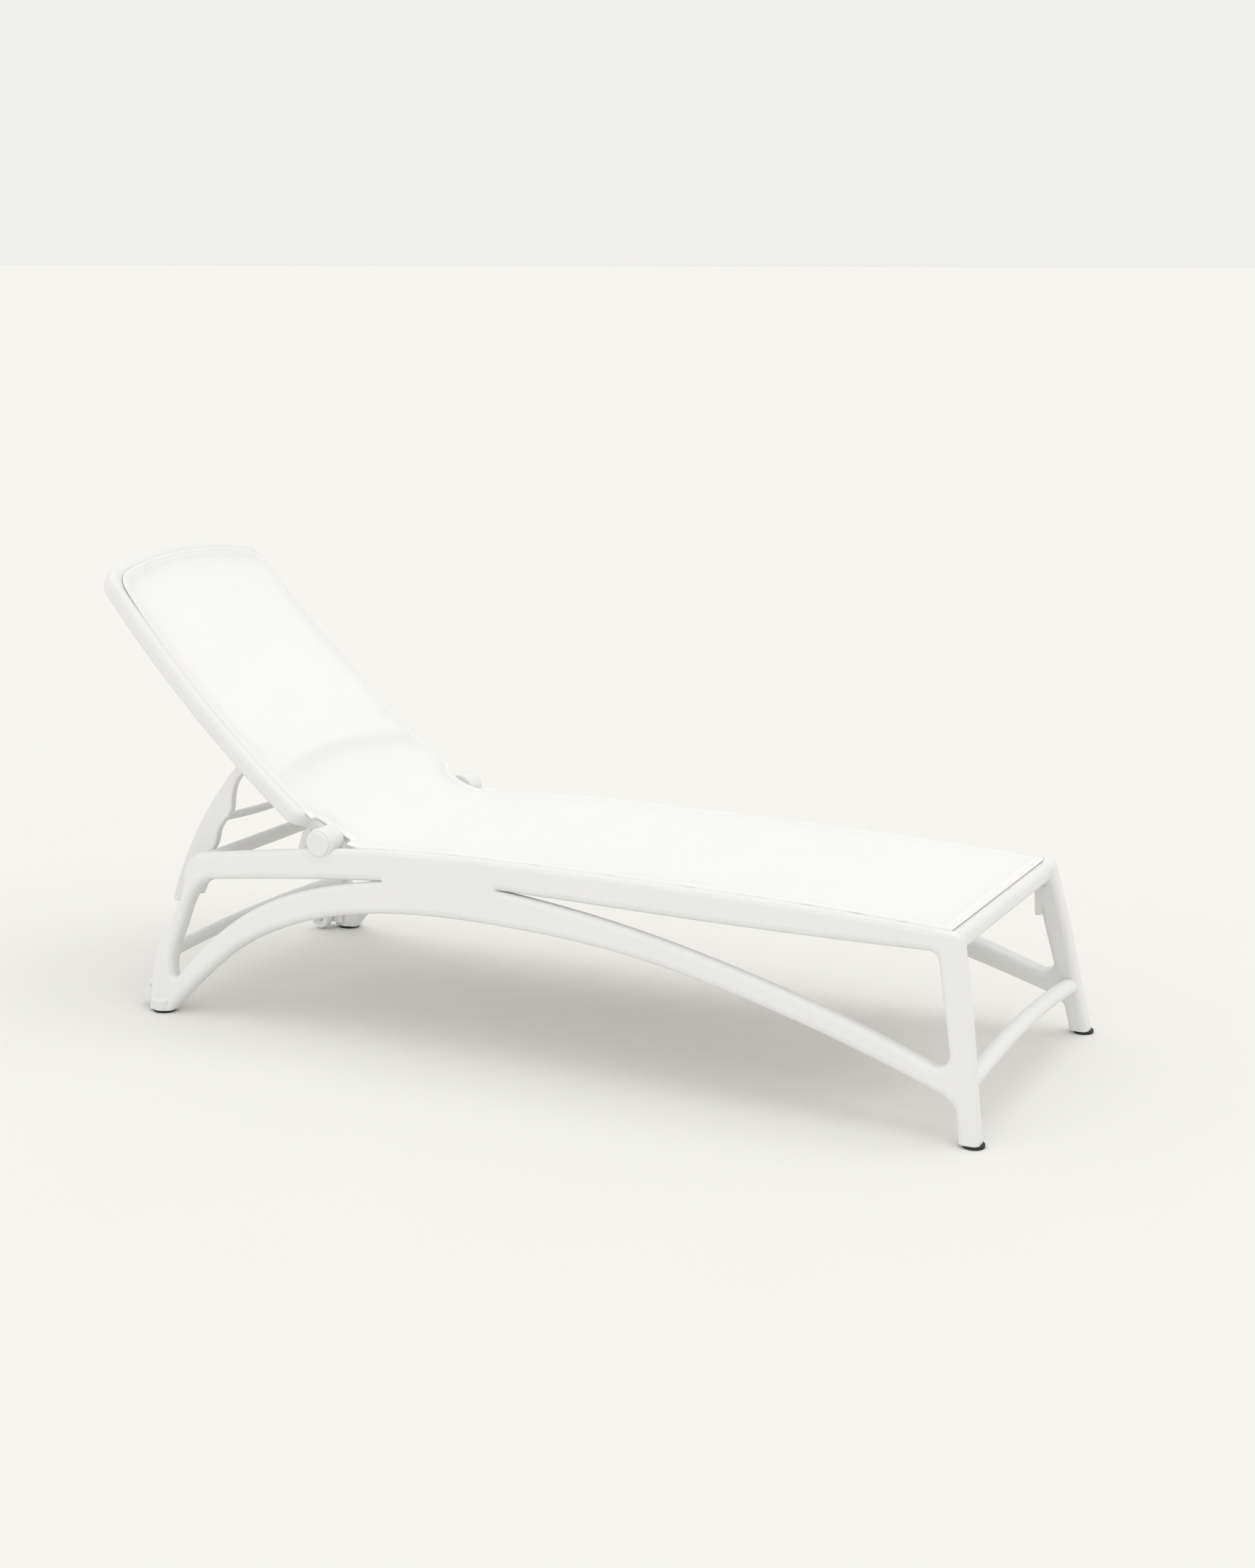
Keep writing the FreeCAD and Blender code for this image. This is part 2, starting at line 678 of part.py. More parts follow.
# ---- wheels ----
def wheel():
    a = V(wheel_at.x, wheel_out - wheel_w, wheel_at.z)
    b = V(wheel_at.x, wheel_out, wheel_at.z)
    disc = cyl(wheel_r, a, b)
    disc = disc.makeFillet(6, [e for e in disc.Edges if e.BoundBox.YLength < 0.1])
    for y in (a.y, b.y):
        step = 2 if y == a.y else -2
        recess = cyl(14, V(a.x, y - step, a.z), V(a.x, y + step, a.z))
        hub = cyl(8, V(a.x, y - 3 * step, a.z), V(a.x, y + 3 * step, a.z))
        disc = disc.cut(recess.cut(hub))
    return one(disc.cut(cyl(axle_r + run_gap, a - V(0, 5, 0), b + V(0, 5, 0))))


def wheel_axle():
    x = wheel_at.x
    z = wheel_at.z
    inner = wheel_out - wheel_w - side_gap
    head = cyl(7.5, V(x, inner - 3, z), V(x, inner, z))
    shank = cyl(axle_r, V(x, inner - 1, z), V(x, plate_mid(0) - 5, z))
    return one(head.fuse(shank))


def build():
    os.makedirs("parts", exist_ok=True)
    left = side_frame()
    save("side_frame_left", left)
    save("side_frame_right", mirrored(left))
    for name, tube, joint, centre in members():
        maker = foot_crossbar if name == "foot_crossbar" else cross_member
        save(name, maker(tube, joint, centre))
    save("hinge_caps", pair(hinge_cap()))
    save("hinge_pins", pair(hinge_pin()))
    save("rear_foot_pads", pair(foot_pad(rear_pad_x, rear_pad_r)))
    save("front_foot_pads", pair(foot_pad(front_pad_x, front_pad_r)))
    save("seat_sling", seat_sling())
    save("foot_edge_strip", foot_strip())
    edge = seat_strip()
    save("seat_edge_strip_left", edge)
    save("seat_edge_strip_right", mirrored(edge))
    bar, plugs = back_crossbar()
    save("back_frame", on_back(one(back_frame().cut(plugs))))
    save("back_crossbar", on_back(bar))
    save("back_edge_strip", on_back(back_strip()))
    save("back_sling", on_back(back_sling()))
    save("prop_pins", on_back(pair(prop_pin())))
    arm = on_prop(prop_arm())
    save("prop_arm_left", arm)
    save("prop_arm_right", mirrored(arm))
    save("prop_bar", on_prop(prop_bar()))
    tread = wheel()
    save("wheel_left", tread)
    save("wheel_right", mirrored(tread))
    save("wheel_axles", pair(wheel_axle()))


build()
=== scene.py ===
"""Looks of a reclining sun lounger: moulded resin frame, one continuous mesh sling, pads, wheels and pins."""

import json
import logging
import math
from dataclasses import dataclass, field
from enum import Enum

import bpy
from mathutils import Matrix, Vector


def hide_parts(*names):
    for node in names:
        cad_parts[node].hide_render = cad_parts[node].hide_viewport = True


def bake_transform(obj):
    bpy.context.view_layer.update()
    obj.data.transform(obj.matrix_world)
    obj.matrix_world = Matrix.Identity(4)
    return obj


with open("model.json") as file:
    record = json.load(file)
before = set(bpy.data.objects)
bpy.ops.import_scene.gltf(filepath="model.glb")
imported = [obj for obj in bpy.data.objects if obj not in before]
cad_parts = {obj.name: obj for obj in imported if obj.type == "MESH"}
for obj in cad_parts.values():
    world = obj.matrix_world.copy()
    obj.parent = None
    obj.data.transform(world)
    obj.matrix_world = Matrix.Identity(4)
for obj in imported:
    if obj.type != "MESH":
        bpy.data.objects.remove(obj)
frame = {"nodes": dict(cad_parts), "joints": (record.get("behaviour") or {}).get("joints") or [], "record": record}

log = logging.getLogger("lounger")
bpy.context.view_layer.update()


class Body(Enum):
    """The two bodies the sling crosses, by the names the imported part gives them."""

    BASE = "base"
    BACK = "back"


class Slot(Enum):
    """Material slots of the record."""

    RESIN = "resin"
    CAP = "resin_cap"
    STRIP = "strip_plastic"
    MESH = "mesh_fabric"
    RUBBER = "pad_rubber"
    METAL = "pin_metal"


# ------------------------------------------------------------ materials


@dataclass(frozen=True)
class Finish:
    """A surface finish that builds itself as a node material.

    Attributes:
        name: Name of the material.
        colour: Linear base colour.
        roughness: Mean roughness.
    """

    name: str
    colour: tuple[float, float, float]
    roughness: float

    def start(self) -> tuple[bpy.types.Material, bpy.types.NodeTree, bpy.types.ShaderNode]:
        """Make the material with its shader.

        Returns:
            The material, its node tree and its shader.
        """
        material = bpy.data.materials.new(self.name)
        material.use_nodes = True
        tree = material.node_tree
        shader = next(n for n in tree.nodes if n.type == "BSDF_PRINCIPLED")
        shader.inputs["Base Color"].default_value = (*self.colour, 1.0)
        shader.inputs["Roughness"].default_value = self.roughness
        return material, tree, shader

    @staticmethod
    def add(tree: bpy.types.NodeTree, kind: str, **values: object) -> bpy.types.Node:
        """Add a node and set its properties or inputs by name.

        Args:
            tree: Tree to add to.
            kind: Node type.
            **values: Property or input names, underscores standing for spaces, and their values.

        Returns:
            The new node.
        """
        node = tree.nodes.new(kind)
        for key, value in values.items():
            if hasattr(node, key):
                setattr(node, key, value)
            else:
                node.inputs[key.replace("_", " ")].default_value = value
        return node

    def noise(self, tree: bpy.types.NodeTree, scale: float, detail: float = 3.0) -> bpy.types.Node:
        """Noise on object coordinates.

        Args:
            tree: Tree to add to.
            scale: Scale per metre.
            detail: Octaves of detail.

        Returns:
            The noise node.
        """
        where = self.add(tree, "ShaderNodeTexCoord")
        node = self.add(tree, "ShaderNodeTexNoise", Scale=scale, Detail=detail)
        tree.links.new(where.outputs["Object"], node.inputs["Vector"])
        return node

    def shade(
        self, tree: bpy.types.NodeTree, source: bpy.types.NodeSocket, spread: float
    ) -> bpy.types.NodeSocket:
        """Colour that varies a little either side of the finish's own.

        Args:
            tree: Tree to add to.
            source: Driving value from 0 to 1.
            spread: Largest relative change.

        Returns:
            The colour output.
        """
        ramp = self.add(tree, "ShaderNodeValToRGB")
        low = [c * (1 - spread) for c in self.colour]
        high = [min(1.0, c * (1 + spread)) for c in self.colour]
        ramp.color_ramp.elements[0].position = 0.3
        ramp.color_ramp.elements[0].color = (*low, 1.0)
        ramp.color_ramp.elements[1].position = 0.7
        ramp.color_ramp.elements[1].color = (*high, 1.0)
        tree.links.new(source, ramp.inputs["Fac"])
        return ramp.outputs["Color"]

    def spread(
        self, tree: bpy.types.NodeTree, source: bpy.types.NodeSocket, low: float, high: float
    ) -> bpy.types.NodeSocket:
        """Map a 0 to 1 value to a range.

        Args:
            tree: Tree to add to.
            source: Value to map.
            low: Result at 0.
            high: Result at 1.

        Returns:
            The mapped value.
        """
        node = self.add(tree, "ShaderNodeMapRange", To_Min=low, To_Max=high)
        tree.links.new(source, node.inputs["Value"])
        return node.outputs["Result"]

    def bump(
        self, tree: bpy.types.NodeTree, shader: bpy.types.Node, height: bpy.types.NodeSocket, depth: float
    ) -> None:
        """Give the shader a bump.

        Args:
            tree: Tree to add to.
            shader: Shader that receives it.
            height: Height value.
            depth: Depth in metres.
        """
        node = self.add(tree, "ShaderNodeBump", Strength=1.0, Distance=depth)
        tree.links.new(height, node.inputs["Height"])
        tree.links.new(node.outputs["Normal"], shader.inputs["Normal"])

    def build(self) -> bpy.types.Material:
        """Build the material; each finish adds its own detail."""
        return self.start()[0]


@dataclass(frozen=True)
class MouldedResin(Finish):
    """Satin moulded resin with a fine grain and slow shade changes."""

    grain: float = 900.0
    grain_depth: float = 0.00004

    def build(self) -> bpy.types.Material:
        """Build the resin."""
        material, tree, shader = self.start()
        slow = self.noise(tree, 7.0, 4.0)
        tree.links.new(self.shade(tree, slow.outputs["Fac"], 0.012), shader.inputs["Base Color"])
        tree.links.new(
            self.spread(tree, slow.outputs["Fac"], self.roughness - 0.05, self.roughness + 0.06),
            shader.inputs["Roughness"],
        )
        fine = self.noise(tree, self.grain, 2.0)
        self.bump(tree, shader, fine.outputs["Fac"], self.grain_depth)
        shader.inputs["IOR"].default_value = 1.49
        return material


@dataclass(frozen=True)
class WovenMesh(Finish):
    """Coated mesh weave on the piece's UV map, whose units are metres, with small see-through holes."""

    pitch: float = 0.0017
    openness: float = 0.22
    thread_height: float = 0.00025
    hole_edge: tuple[float, float] = (0.35, 0.6)
    hole_depth: float = 2.2
    double_from: float = 0.94
    double_cover: float = 0.7

    def build(self) -> bpy.types.Material:
        """Build the weave."""
        material, tree, shader = self.start()
        where = self.add(tree, "ShaderNodeTexCoord")
        split = self.add(tree, "ShaderNodeSeparateXYZ")
        tree.links.new(where.outputs["UV"], split.inputs["Vector"])
        threads = []
        for axis in ("X", "Y"):
            turn = self.add(tree, "ShaderNodeMath", operation="MULTIPLY")
            turn.inputs[1].default_value = math.pi / self.pitch
            tree.links.new(split.outputs[axis], turn.inputs[0])
            wave = self.add(tree, "ShaderNodeMath", operation="SINE")
            tree.links.new(turn.outputs[0], wave.inputs[0])
            size = self.add(tree, "ShaderNodeMath", operation="ABSOLUTE")
            tree.links.new(wave.outputs[0], size.inputs[0])
            threads.append(size.outputs[0])
        weave = self.add(tree, "ShaderNodeMath", operation="MAXIMUM")
        tree.links.new(threads[0], weave.inputs[0])
        tree.links.new(threads[1], weave.inputs[1])
        self.bump(tree, shader, weave.outputs[0], self.thread_height)
        cover = self.add(
            tree, "ShaderNodeMapRange", From_Min=self.hole_edge[0], From_Max=self.hole_edge[1],
            To_Min=1.0 - self.hole_depth * self.openness, To_Max=1.0,
        )
        tree.links.new(weave.outputs[0], cover.inputs["Value"])
        hem = self.add(tree, "ShaderNodeAttribute", attribute_name="hem")
        double = self.add(
            tree, "ShaderNodeMapRange", From_Min=self.double_from, From_Max=1.0,
            To_Min=self.double_cover, To_Max=0.0,
        )
        tree.links.new(hem.outputs["Fac"], double.inputs["Value"])
        solid = self.add(tree, "ShaderNodeMath", operation="ADD", use_clamp=True)
        tree.links.new(cover.outputs["Result"], solid.inputs[0])
        tree.links.new(double.outputs["Result"], solid.inputs[1])
        tree.links.new(solid.outputs[0], shader.inputs["Alpha"])
        slow = self.noise(tree, 5.0, 3.0)
        tree.links.new(self.shade(tree, slow.outputs["Fac"], 0.01), shader.inputs["Base Color"])
        shader.inputs["Sheen Weight"].default_value = 0.15
        shader.inputs["Sheen Roughness"].default_value = 0.5
        shader.inputs["Subsurface Weight"].default_value = 0.5
        shader.inputs["Subsurface Radius"].default_value = (1.0, 1.0, 1.0)
        shader.inputs["Subsurface Scale"].default_value = 0.003
        return material


@dataclass(frozen=True)
class PadRubber(Finish):
    """Matt rubber with a pebbled skin and scuffs."""

    def build(self) -> bpy.types.Material:
        """Build the rubber."""
        material, tree, shader = self.start()
        scuff = self.noise(tree, 120.0, 5.0)
        tree.links.new(self.shade(tree, scuff.outputs["Fac"], 0.35), shader.inputs["Base Color"])
        skin = self.noise(tree, 1400.0, 2.0)
        self.bump(tree, shader, skin.outputs["Fac"], 0.0001)
        return material


@dataclass(frozen=True)
class BrushedSteel(Finish):
    """Brushed stainless pin stock."""

    def build(self) -> bpy.types.Material:
        """Build the steel."""
        material, tree, shader = self.start()
        shader.inputs["Metallic"].default_value = 1.0
        where = self.add(tree, "ShaderNodeTexCoord")
        squeeze = self.add(tree, "ShaderNodeMapping")
        squeeze.inputs["Scale"].default_value = (1.0, 60.0, 1.0)
        streak = self.add(tree, "ShaderNodeTexNoise", Scale=60.0, Detail=3.0)
        tree.links.new(where.outputs["Object"], squeeze.inputs["Vector"])
        tree.links.new(squeeze.outputs["Vector"], streak.inputs["Vector"])
        tree.links.new(self.spread(tree, streak.outputs["Fac"], 0.22, 0.42), shader.inputs["Roughness"])
        return material


@dataclass(frozen=True)
class StudioPaint(Finish):
    """Plain floor paint of the studio."""

    def build(self) -> bpy.types.Material:
        """Build the paint."""
        material, tree, shader = self.start()
        slow = self.noise(tree, 2.0, 2.0)
        tree.links.new(self.shade(tree, slow.outputs["Fac"], 0.004), shader.inputs["Base Color"])
        return material


FINISHES: dict[Slot, Finish] = {
    Slot.RESIN: MouldedResin("satin resin", (0.80, 0.80, 0.795), 0.42),
    Slot.CAP: MouldedResin("satin cap resin", (0.81, 0.81, 0.805), 0.38),
    Slot.STRIP: MouldedResin("edge strip", (0.79, 0.79, 0.785), 0.45),
    Slot.MESH: WovenMesh("woven sling mesh", (0.90, 0.90, 0.895), 0.6),
    Slot.RUBBER: PadRubber("pad rubber", (0.018, 0.018, 0.02), 0.75),
    Slot.METAL: BrushedSteel("brushed pin steel", (0.62, 0.62, 0.64), 0.32),
}


@dataclass
class FinishShop:
    """Builds each finish once and hands it out."""

    made: dict[Slot, bpy.types.Material] = field(default_factory=dict)

    def get(self, slot: Slot) -> bpy.types.Material:
        """Material of a slot, built on first use."""
        if slot not in self.made:
            self.made[slot] = FINISHES[slot].build()
        return self.made[slot]

    def dress(self, piece: bpy.types.Object, slot: Slot) -> None:
        """Give a piece one finish all over.

        Args:
            piece: Object to dress.
            slot: Record slot of the finish.
        """
        piece.data.materials.clear()
        piece.data.materials.append(self.get(slot))


# ------------------------------------------------------------ modelling helpers


def deselect_all() -> None:
    """Clear the selection, in object mode."""
    if bpy.context.mode != "OBJECT":
        bpy.ops.object.mode_set(mode="OBJECT")
    bpy.ops.object.select_all(action="DESELECT")


def activate(piece: bpy.types.Object) -> None:
    """Make one object the only selected and active one."""
    deselect_all()
    piece.select_set(True)
    bpy.context.view_layer.objects.active = piece


def settle(piece: bpy.types.Object, name: str, angle: float = 40.0) -> bpy.types.Object:
    """Name a finished piece, put its place in its mesh and smooth it.

    Args:
        piece: Object to finish.
        name: Final name.
        angle: Largest smooth angle in degrees.

    Returns:
        The same object.
    """
    activate(piece)
    bpy.ops.object.transform_apply(location=True, rotation=True, scale=True)
    bpy.ops.object.shade_smooth_by_angle(angle=math.radians(angle))
    piece.name = name
    piece.data.name = name
    return piece


def apply_modifier(piece: bpy.types.Object, kind: str, **values: object) -> None:
    """Add a modifier with values and apply it.

    Args:
        piece: Object to change.
        kind: Modifier type.
        **values: Modifier properties.
    """
    activate(piece)
    modifier = piece.modifiers.new(kind.lower(), kind)
    for key, value in values.items():
        setattr(modifier, key, value)
    bpy.ops.object.modifier_apply(modifier=modifier.name)


# ------------------------------------------------------------ sling


@dataclass
class Sling:
    """One continuous mesh sling from the front bar over the hinge to the crown of the back.

    Attributes:
        hinge: Recline axis point.
        chord_angle: Angle of the back's chord above level at rest, in degrees.
        length: Hinge axis to the crown of the back frame, along the chord.
        bow: Sag of the back's side profile below its chord.
        level: Middle of the cloth above the bowed profile.
        thick: Cloth thickness.
        seat_half: Half width over the seat.
        back_half: Half width over the back, at its hinge end.
        taper: Half width lost towards the crown.
        top: Hinge axis to the sling's top edge at mid width, along the chord.
        crown_rise: Rise of the arched top edge.
        corner_r: Radius of its top corners.
        notch: Half length of the cut-out beside each hinge ear.
        notch_half: Half width of the cloth between the ears.
        seat_sag: Sag of the seat at mid width.
        back_sag: Sag of the back at mid width.
        hem: Width of the welded double edge.
        leave_x: Where the cloth leaves the seat's rails.
        meet_u: Where it meets the back, along the chord.
        seat_pull: How far the fold's curve keeps the seat's direction.
        back_pull: How far it keeps the back's direction.
        fold_steps: Points along the fold's curve.
        back_steps: Points along the back.
        coarse: Row spacing over the plain stretches.
        fine: Row spacing at the fold and the two ends.
        fold_x: Where the fine rows of the fold lie, in X.
        taper_from: Hinge axis to where the back starts to narrow.
        taper_run: Length over which it narrows.
        rise_from: Hinge axis to where the arched top edge starts to show in the rows.
        blend_reach: Length of cloth either side of the fold; not used.
        fine_ends: Length of fine rows at the front and top ends.
        bead: Height of the edge bead, its distance from the edge and its half width.
        seam: Depth of the hem's seam and its half width.
        tuck: How far the edge turns down into its groove, and over what width.
        seat_ease: Length over which the seat's sag starts at the front.
        back_ease: Length over which the other sags start and end.
        columns: Faces across.
    """

    hinge: Vector
    chord_angle: float = 43.3
    length: float = 0.745
    bow: float = 0.027
    level: float = 0.0162
    thick: float = 0.0012
    seat_half: float = 0.2762
    back_half: float = 0.269
    taper: float = 0.026
    top: float = 0.7255
    crown_rise: float = 0.0347
    corner_r: float = 0.0385
    notch: float = 0.046
    notch_half: float = 0.246
    seat_sag: float = 0.007
    back_sag: float = 0.006
    hem: float = 0.016
    leave_x: float = -0.335
    meet_u: float = 0.045
    seat_pull: float = 0.026
    back_pull: float = 0.044
    fold_steps: int = 24
    back_steps: int = 60
    coarse: float = 0.009
    fine: float = 0.0025
    fold_x: tuple[float, float] = (-0.47, -0.31)
    taper_from: float = 0.072
    taper_run: float = 0.637
    rise_from: float = 0.35
    blend_reach: float = 0.050
    fine_ends: tuple[float, float] = (0.02, 0.06)
    bead: tuple[float, float, float] = (0.0011, 0.0042, 0.0021)
    seam: tuple[float, float] = (0.0004, 0.0010)
    tuck: tuple[float, float] = (0.0022, 0.0016)
    seat_ease: float = 0.25
    back_ease: float = 0.2
    columns: int = 64

    def bend_r(self) -> float:
        """Radius of the back's side profile."""
        return (self.length**2 / 4 + self.bow**2) / (2 * self.bow)

    def on_chord(self, u: float, n: float) -> Vector:
        """Point at distance u along the back's chord and n above it."""
        a = math.radians(self.chord_angle)
        return Vector((
            self.hinge.x - u * math.cos(a) + n * math.sin(a),
            0.0,
            self.hinge.z + u * math.sin(a) + n * math.cos(a),
        ))

    def on_back(self, u: float) -> Vector:
        """Point of the cloth's middle surface at distance u along the chord."""
        r = self.bend_r()
        return self.on_chord(u, r - self.bow - math.sqrt((r - self.level) ** 2 - (u - self.length / 2) ** 2))

    def along(self, point: Vector) -> float:
        """Distance of a point from the hinge axis along the chord."""
        return (point - self.hinge).dot(self.on_chord(1.0, 0.0) - self.on_chord(0.0, 0.0))

    def seat_line(self) -> list[Vector]:
        """Underside of the seat stretch, foot end first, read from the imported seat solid."""
        mesh = frame["nodes"]["seat_sling"].data
        lows: dict[int, float] = {}
        for vertex in mesh.vertices:
            key = round(vertex.co.x * 500)
            lows[key] = min(lows.get(key, 9.0), vertex.co.z)
        line = [Vector((k / 500, 0.0, z)) for k, z in sorted(lows.items(), reverse=True)]
        return [p for p in line if p.x > self.leave_x]

    def profile(self) -> list[Vector]:
        """Side view line of the sling, foot end first, in even small steps."""
        line = self.seat_line()
        start = line[-1]
        ahead = (line[-1] - line[-3]).normalized()
        meet = self.on_back(self.meet_u)
        way = (self.on_back(self.meet_u + 0.01) - meet).normalized()
        knots = (start, start + ahead * self.seat_pull, meet - way * self.back_pull, meet)
        for i in range(1, self.fold_steps + 1):
            t = i / self.fold_steps
            s = 1 - t
            seat_part = knots[0] * s**3 + knots[1] * 3 * s * s * t
            line.append(seat_part + knots[2] * 3 * s * t * t + knots[3] * t**3)
        for i in range(1, self.back_steps + 1):
            line.append(self.on_back(self.meet_u + (self.top - self.meet_u) * i / self.back_steps))
        return self.even(line)

    def even(self, line: list[Vector]) -> list[Vector]:
        """Resample a line at coarse steps, and fine ones near the fold and the two ends.

        Args:
            line: Points of the line.

        Returns:
            The new points.
        """
        lengths = [0.0]
        for a, b in zip(line, line[1:]):
            lengths.append(lengths[-1] + (b - a).length)
        total = lengths[-1]
        out = []
        place = 0.0
        index = 0
        while place < total:
            while lengths[index + 1] < place:
                index += 1
            t = (place - lengths[index]) / max(lengths[index + 1] - lengths[index], 1e-9)
            point = line[index].lerp(line[index + 1], t)
            out.append(point)
            near_end = place < self.fine_ends[0] or total - place < self.fine_ends[1]
            in_fold = self.fold_x[0] < point.x < self.fold_x[1]
            place += self.fine if near_end or in_fold else self.coarse
        out.append(line[-1])
        return out

    def half_at(self, point: Vector, s: float, fold: float) -> float:
        """Half width of the sling at a point of its profile.

        Args:
            point: Point of the profile.
            s: Its length along the profile.
            fold: Length at the middle of the fold.

        Returns:
            The half width.
        """
        u = self.along(point)
        half = self.seat_half
        if s > fold:
            half = self.back_half - self.taper * max(u - self.taper_from, 0.0) / self.taper_run
        left = self.top - u
        if s > fold and left < self.corner_r:
            half -= self.corner_r - math.sqrt(max(self.corner_r**2 - (self.corner_r - left) ** 2, 0.0))
        gap = abs(s - fold) / self.notch
        if gap < 1.0:
            half = min(half, self.notch_half + (half - self.notch_half) * (1 - (1 - gap**4) ** 0.25))
        return half

    def lift(self, edge: float) -> float:
        """Height of the cloth near its edge: a bead over the keder, then down into the groove.

        Args:
            edge: Distance from the edge in metres.

        Returns:
            Height in metres.
        """
        rise, centre, width = self.bead
        bead = rise * math.exp(-(((edge - centre) / width) ** 2))
        seam = self.seam[0] * math.exp(-(((edge - self.hem) / self.seam[1]) ** 2))
        return bead - seam - self.tuck[0] * max(0.0, 1.0 - edge / self.tuck[1])

    def build(self, shop: FinishShop) -> bpy.types.Object:
        """Args:
            shop: Source of finishes.

        Returns:
            The sling.
        """
        line = self.profile()
        lengths = [0.0]
        for a, b in zip(line, line[1:]):
            lengths.append(lengths[-1] + (b - a).length)
        nearest = min(range(len(line)), key=lambda i: (line[i] - self.hinge).length)
        fold = lengths[nearest]
        rows = len(line)
        deselect_all()
        bpy.ops.mesh.primitive_grid_add(x_subdivisions=rows - 1, y_subdivisions=self.columns, size=2.0)
        piece = bpy.context.object
        mesh = piece.data
        uv = mesh.uv_layers.active or mesh.uv_layers.new(name="UVMap")
        hems = mesh.attributes.new("hem", "FLOAT", "POINT")
        places: list[tuple[float, float]] = []
        for index, vertex in enumerate(mesh.vertices):
            row = round((vertex.co.x + 1) / 2 * (rows - 1))
            across = math.sin(vertex.co.y * math.pi / 2)
            point, s = line[row], lengths[row]
            half = self.half_at(point, s, fold)
            place, edge = self.place(line, lengths, row, across * half, half, fold)
            vertex.co = place
            places.append((place.y, s))
            hems.data[index].value = min(1.0, edge / self.hem)
        for loop in mesh.loops:
            uv.data[loop.index].uv = places[loop.vertex_index]
        apply_modifier(piece, "SOLIDIFY", thickness=self.thick, offset=0.0)
        settle(piece, "sling", 60.0)
        shop.dress(piece, Slot.MESH)
        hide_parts("seat_sling", "back_sling")
        self.area(line, lengths, fold)
        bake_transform(piece)
        log.info("sling: %d rows, %.3f m long", rows, lengths[-1])
        return piece

    def place(self, line: list[Vector], lengths: list[float], row: int, v: float, half: float,
              fold: float) -> tuple[Vector, float]:
        """Place of one point of the cloth and its distance from the nearest edge.

        Args:
            line: Side view line.
            lengths: Length along it at each point.
            row: Point of the line.
            v: Distance from mid width.
            half: Half width there.
            fold: Length at the fold.

        Returns:
            The place and the distance.
        """
        point, s, total = line[row], lengths[row], lengths[-1]
        edge = min(half - abs(v), s, total - s)
        height = self.lift(max(edge, 0.0)) - self.sag(s, fold, total, v / max(half, 1e-6))
        place = point + self.normal(line, row) * height
        if s > fold:
            share = (self.along(point) - self.rise_from) / (self.top - self.rise_from)
            climb = min(1.0, max(0.0, share)) ** 2
            top_half = self.back_half - self.taper
            way = self.on_chord(1.0, 0.0) - self.on_chord(0.0, 0.0)
            place = place - way * (self.crown_rise * (v / top_half) ** 2 * climb)
        return Vector((place.x, v, place.z)), edge

    def area(self, line: list[Vector], lengths: list[float], fold: float) -> float:
        """Flat area of the sling in square metres."""
        total = 0.0
        for i in range(len(line) - 1):
            total += (lengths[i + 1] - lengths[i]) * 2 * self.half_at(line[i], lengths[i], fold)
        return total

    @staticmethod
    def on_fold(line: list[Vector], fold: float, lengths: list[float], away: float) -> Vector:
        """Point of the profile at a length away from the fold."""
        return line[min(range(len(line)), key=lambda i: abs(lengths[i] - fold - away))]

    @staticmethod
    def normal(line: list[Vector], row: int) -> Vector:
        """Upward normal of the profile at a row."""
        way = line[min(row + 1, len(line) - 1)] - line[max(row - 1, 0)]
        return Vector((way.z, 0.0, -way.x)).normalized()

    def sag(self, s: float, fold: float, total: float, across: float) -> float:
        """Sag of the cloth between its edges.

        Args:
            s: Length along the profile.
            fold: Length at the fold.
            total: Whole length.
            across: Place across, from -1 to 1.

        Returns:
            Sag in metres.
        """
        bow = 1 - across * across
        if s < fold:
            window = min(1.0, s / self.seat_ease) * min(1.0, (fold - s) / self.back_ease)
            return self.seat_sag * bow * window
        window = min(1.0, (total - s) / self.back_ease) * min(1.0, (s - fold) / self.back_ease)
        return self.back_sag * bow * window


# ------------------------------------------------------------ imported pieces


@dataclass
class PackedPieces:
    """The CAD pieces whose shape is already right, dressed by their record slot."""

    hidden: tuple[str, ...] = ("seat_sling", "back_sling")

    def dress(self, shop: FinishShop) -> None:
        """Give every shown node its finish.

        Args:
            shop: Source of finishes.
        """
        slots = {row["node"]: Slot(row["material_slot"]) for row in frame["record"]["subparts"]}
        for name, piece in frame["nodes"].items():
            if name in self.hidden:
                continue
            material = shop.get(slots[name])
            for place in piece.material_slots:
                place.material = material
            if not piece.material_slots:
                piece.data.materials.append(material)
            log.info("dressed %s as %s", name, slots[name].value)


# ------------------------------------------------------------ studio


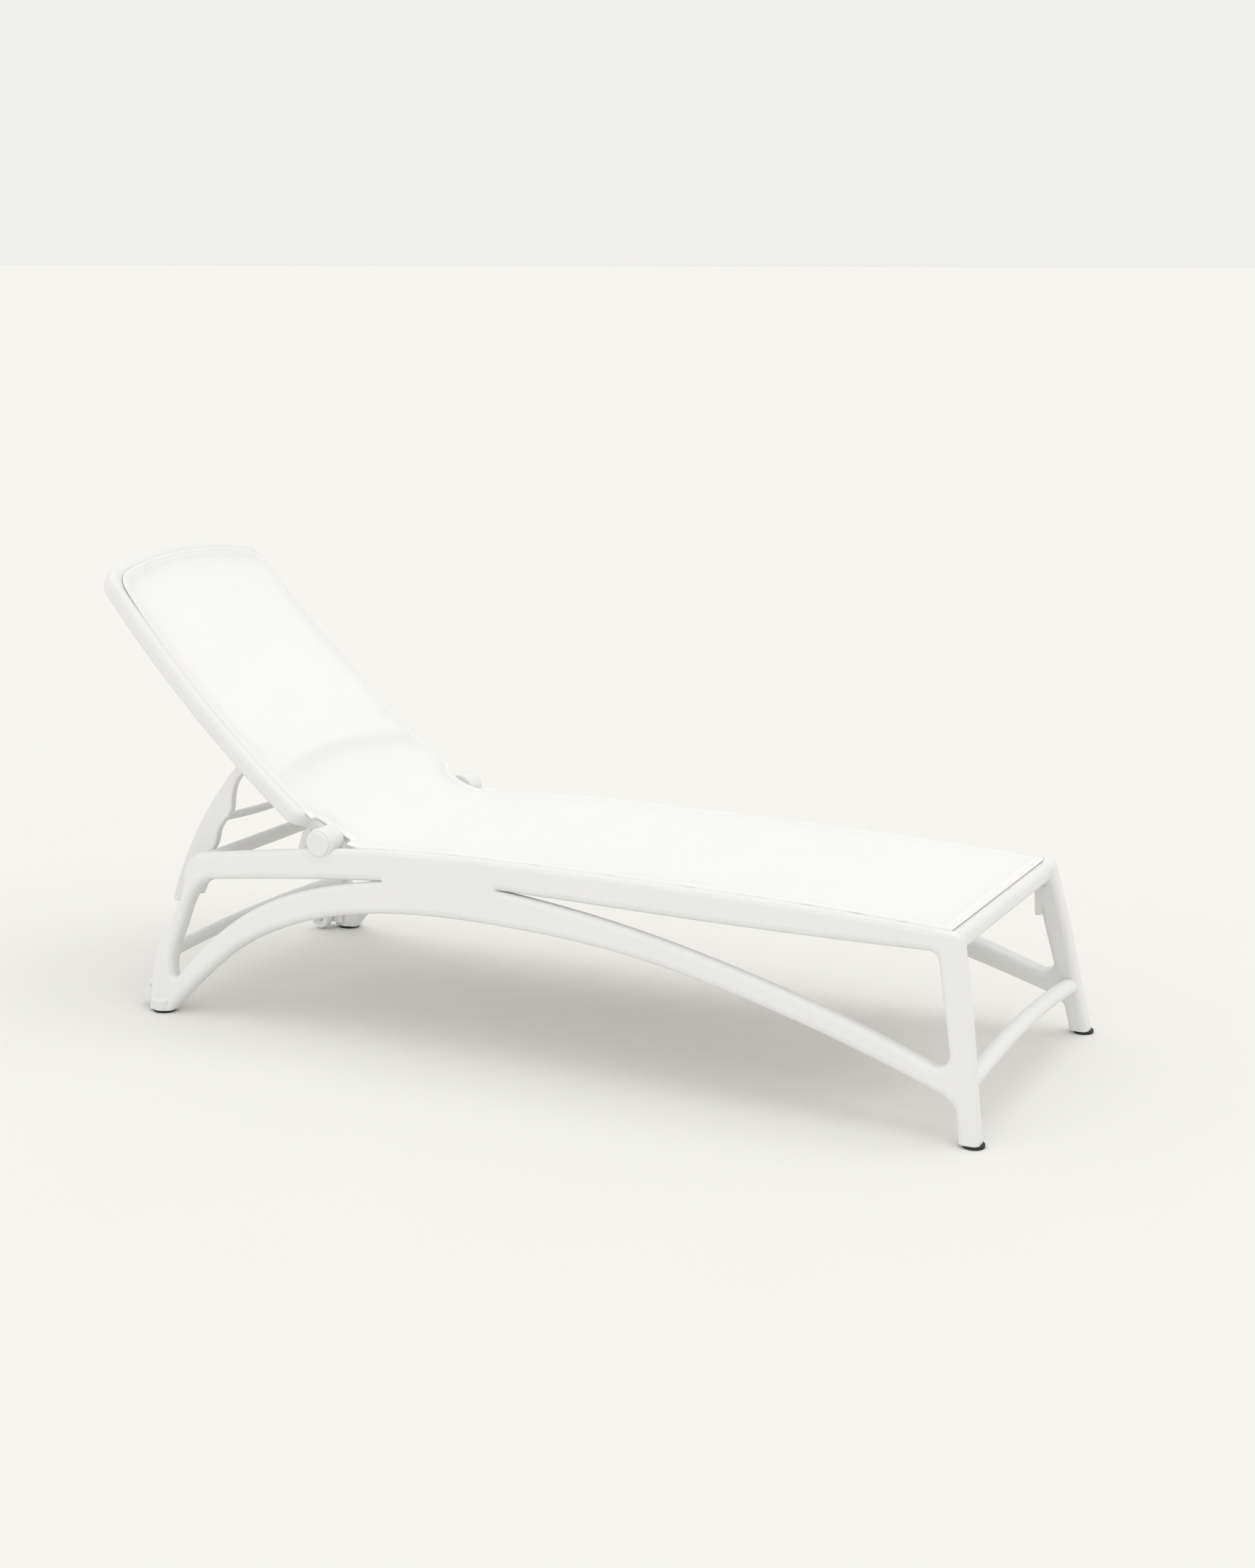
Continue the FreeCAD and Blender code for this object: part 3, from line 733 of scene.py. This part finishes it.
@dataclass
class Studio:
    """Pale seamless floor, soft lights and the camera.

    Attributes:
        azimuth: Camera turn from straight behind -Y, in degrees.
        pitch: Downward tilt in degrees.
        place: Camera position.
        lens: Focal length in millimetres.
        shift: Lens shift, across and up.
    """

    azimuth: float = 26.5
    pitch: float = 11.68
    place: tuple[float, float, float] = (2.10, -4.05, 1.48)
    lens: float = 54.87
    shift: tuple[float, float] = (0.0131, -0.0218)
    air: tuple[float, float, float] = (0.868, 0.861, 0.832)

    def camera(self) -> None:
        """Set up the camera."""
        data = bpy.data.cameras.new("camera")
        data.lens = self.lens
        data.sensor_width = 36.0
        data.sensor_fit = "AUTO"
        data.shift_x, data.shift_y = self.shift
        data.clip_end = 1000.0
        eye = bpy.data.objects.new("camera", data)
        eye.location = self.place
        eye.rotation_euler = (math.radians(90 - self.pitch), 0.0, math.radians(self.azimuth))
        bpy.context.scene.collection.objects.link(eye)
        bpy.context.scene.camera = eye

    def floor(self) -> None:
        """Lay the floor."""
        deselect_all()
        bpy.ops.mesh.primitive_plane_add(size=600.0, location=(0.0, 0.0, 0.0))
        ground = bpy.context.object
        ground.name = "floor"
        ground.data.materials.append(StudioPaint("floor paint", (0.80, 0.797, 0.782), 0.95).build())

    def sun(self, name: str, way: tuple[float, float, float], spread: float, power: float) -> None:
        """Add a soft distant light, even over the whole floor.

        Args:
            name: Name of the light.
            way: Direction from the object to the light.
            spread: Angular size in degrees.
            power: Watts per square metre.
        """
        data = bpy.data.lights.new(name, "SUN")
        data.energy = power
        data.angle = math.radians(spread)
        lamp = bpy.data.objects.new(name, data)
        lamp.rotation_euler = (-Vector(way)).to_track_quat("-Z", "Y").to_euler()
        bpy.context.scene.collection.objects.link(lamp)

    def build(self) -> None:
        """Build the whole studio."""
        world = bpy.data.worlds.new("studio air")
        world.use_nodes = True
        sky = next(n for n in world.node_tree.nodes if n.type == "BACKGROUND")
        sky.inputs["Color"].default_value = (*self.air, 1.0)
        sky.inputs["Strength"].default_value = 1.0
        bpy.context.scene.world = world
        bpy.context.scene.view_settings.view_transform = "Standard"
        self.floor()
        self.sun("overhead", (0.30, 0.15, 1.0), 70.0, 0.80)
        self.sun("side fill", (-0.45, -0.85, 0.35), 60.0, 0.36)
        self.camera()
        log.info("studio ready")


def main() -> None:
    """Build every piece in order."""
    logging.basicConfig(level=logging.INFO, format="%(name)s %(message)s")
    joint = next(j for j in frame["joints"] if j["name"] == "back_recline")
    hinge = Vector(joint["pos_m"])
    shop = FinishShop()
    Studio().build()
    PackedPieces().dress(shop)
    Sling(hinge=hinge).build(shop)


if __name__ == "__main__":
    main()
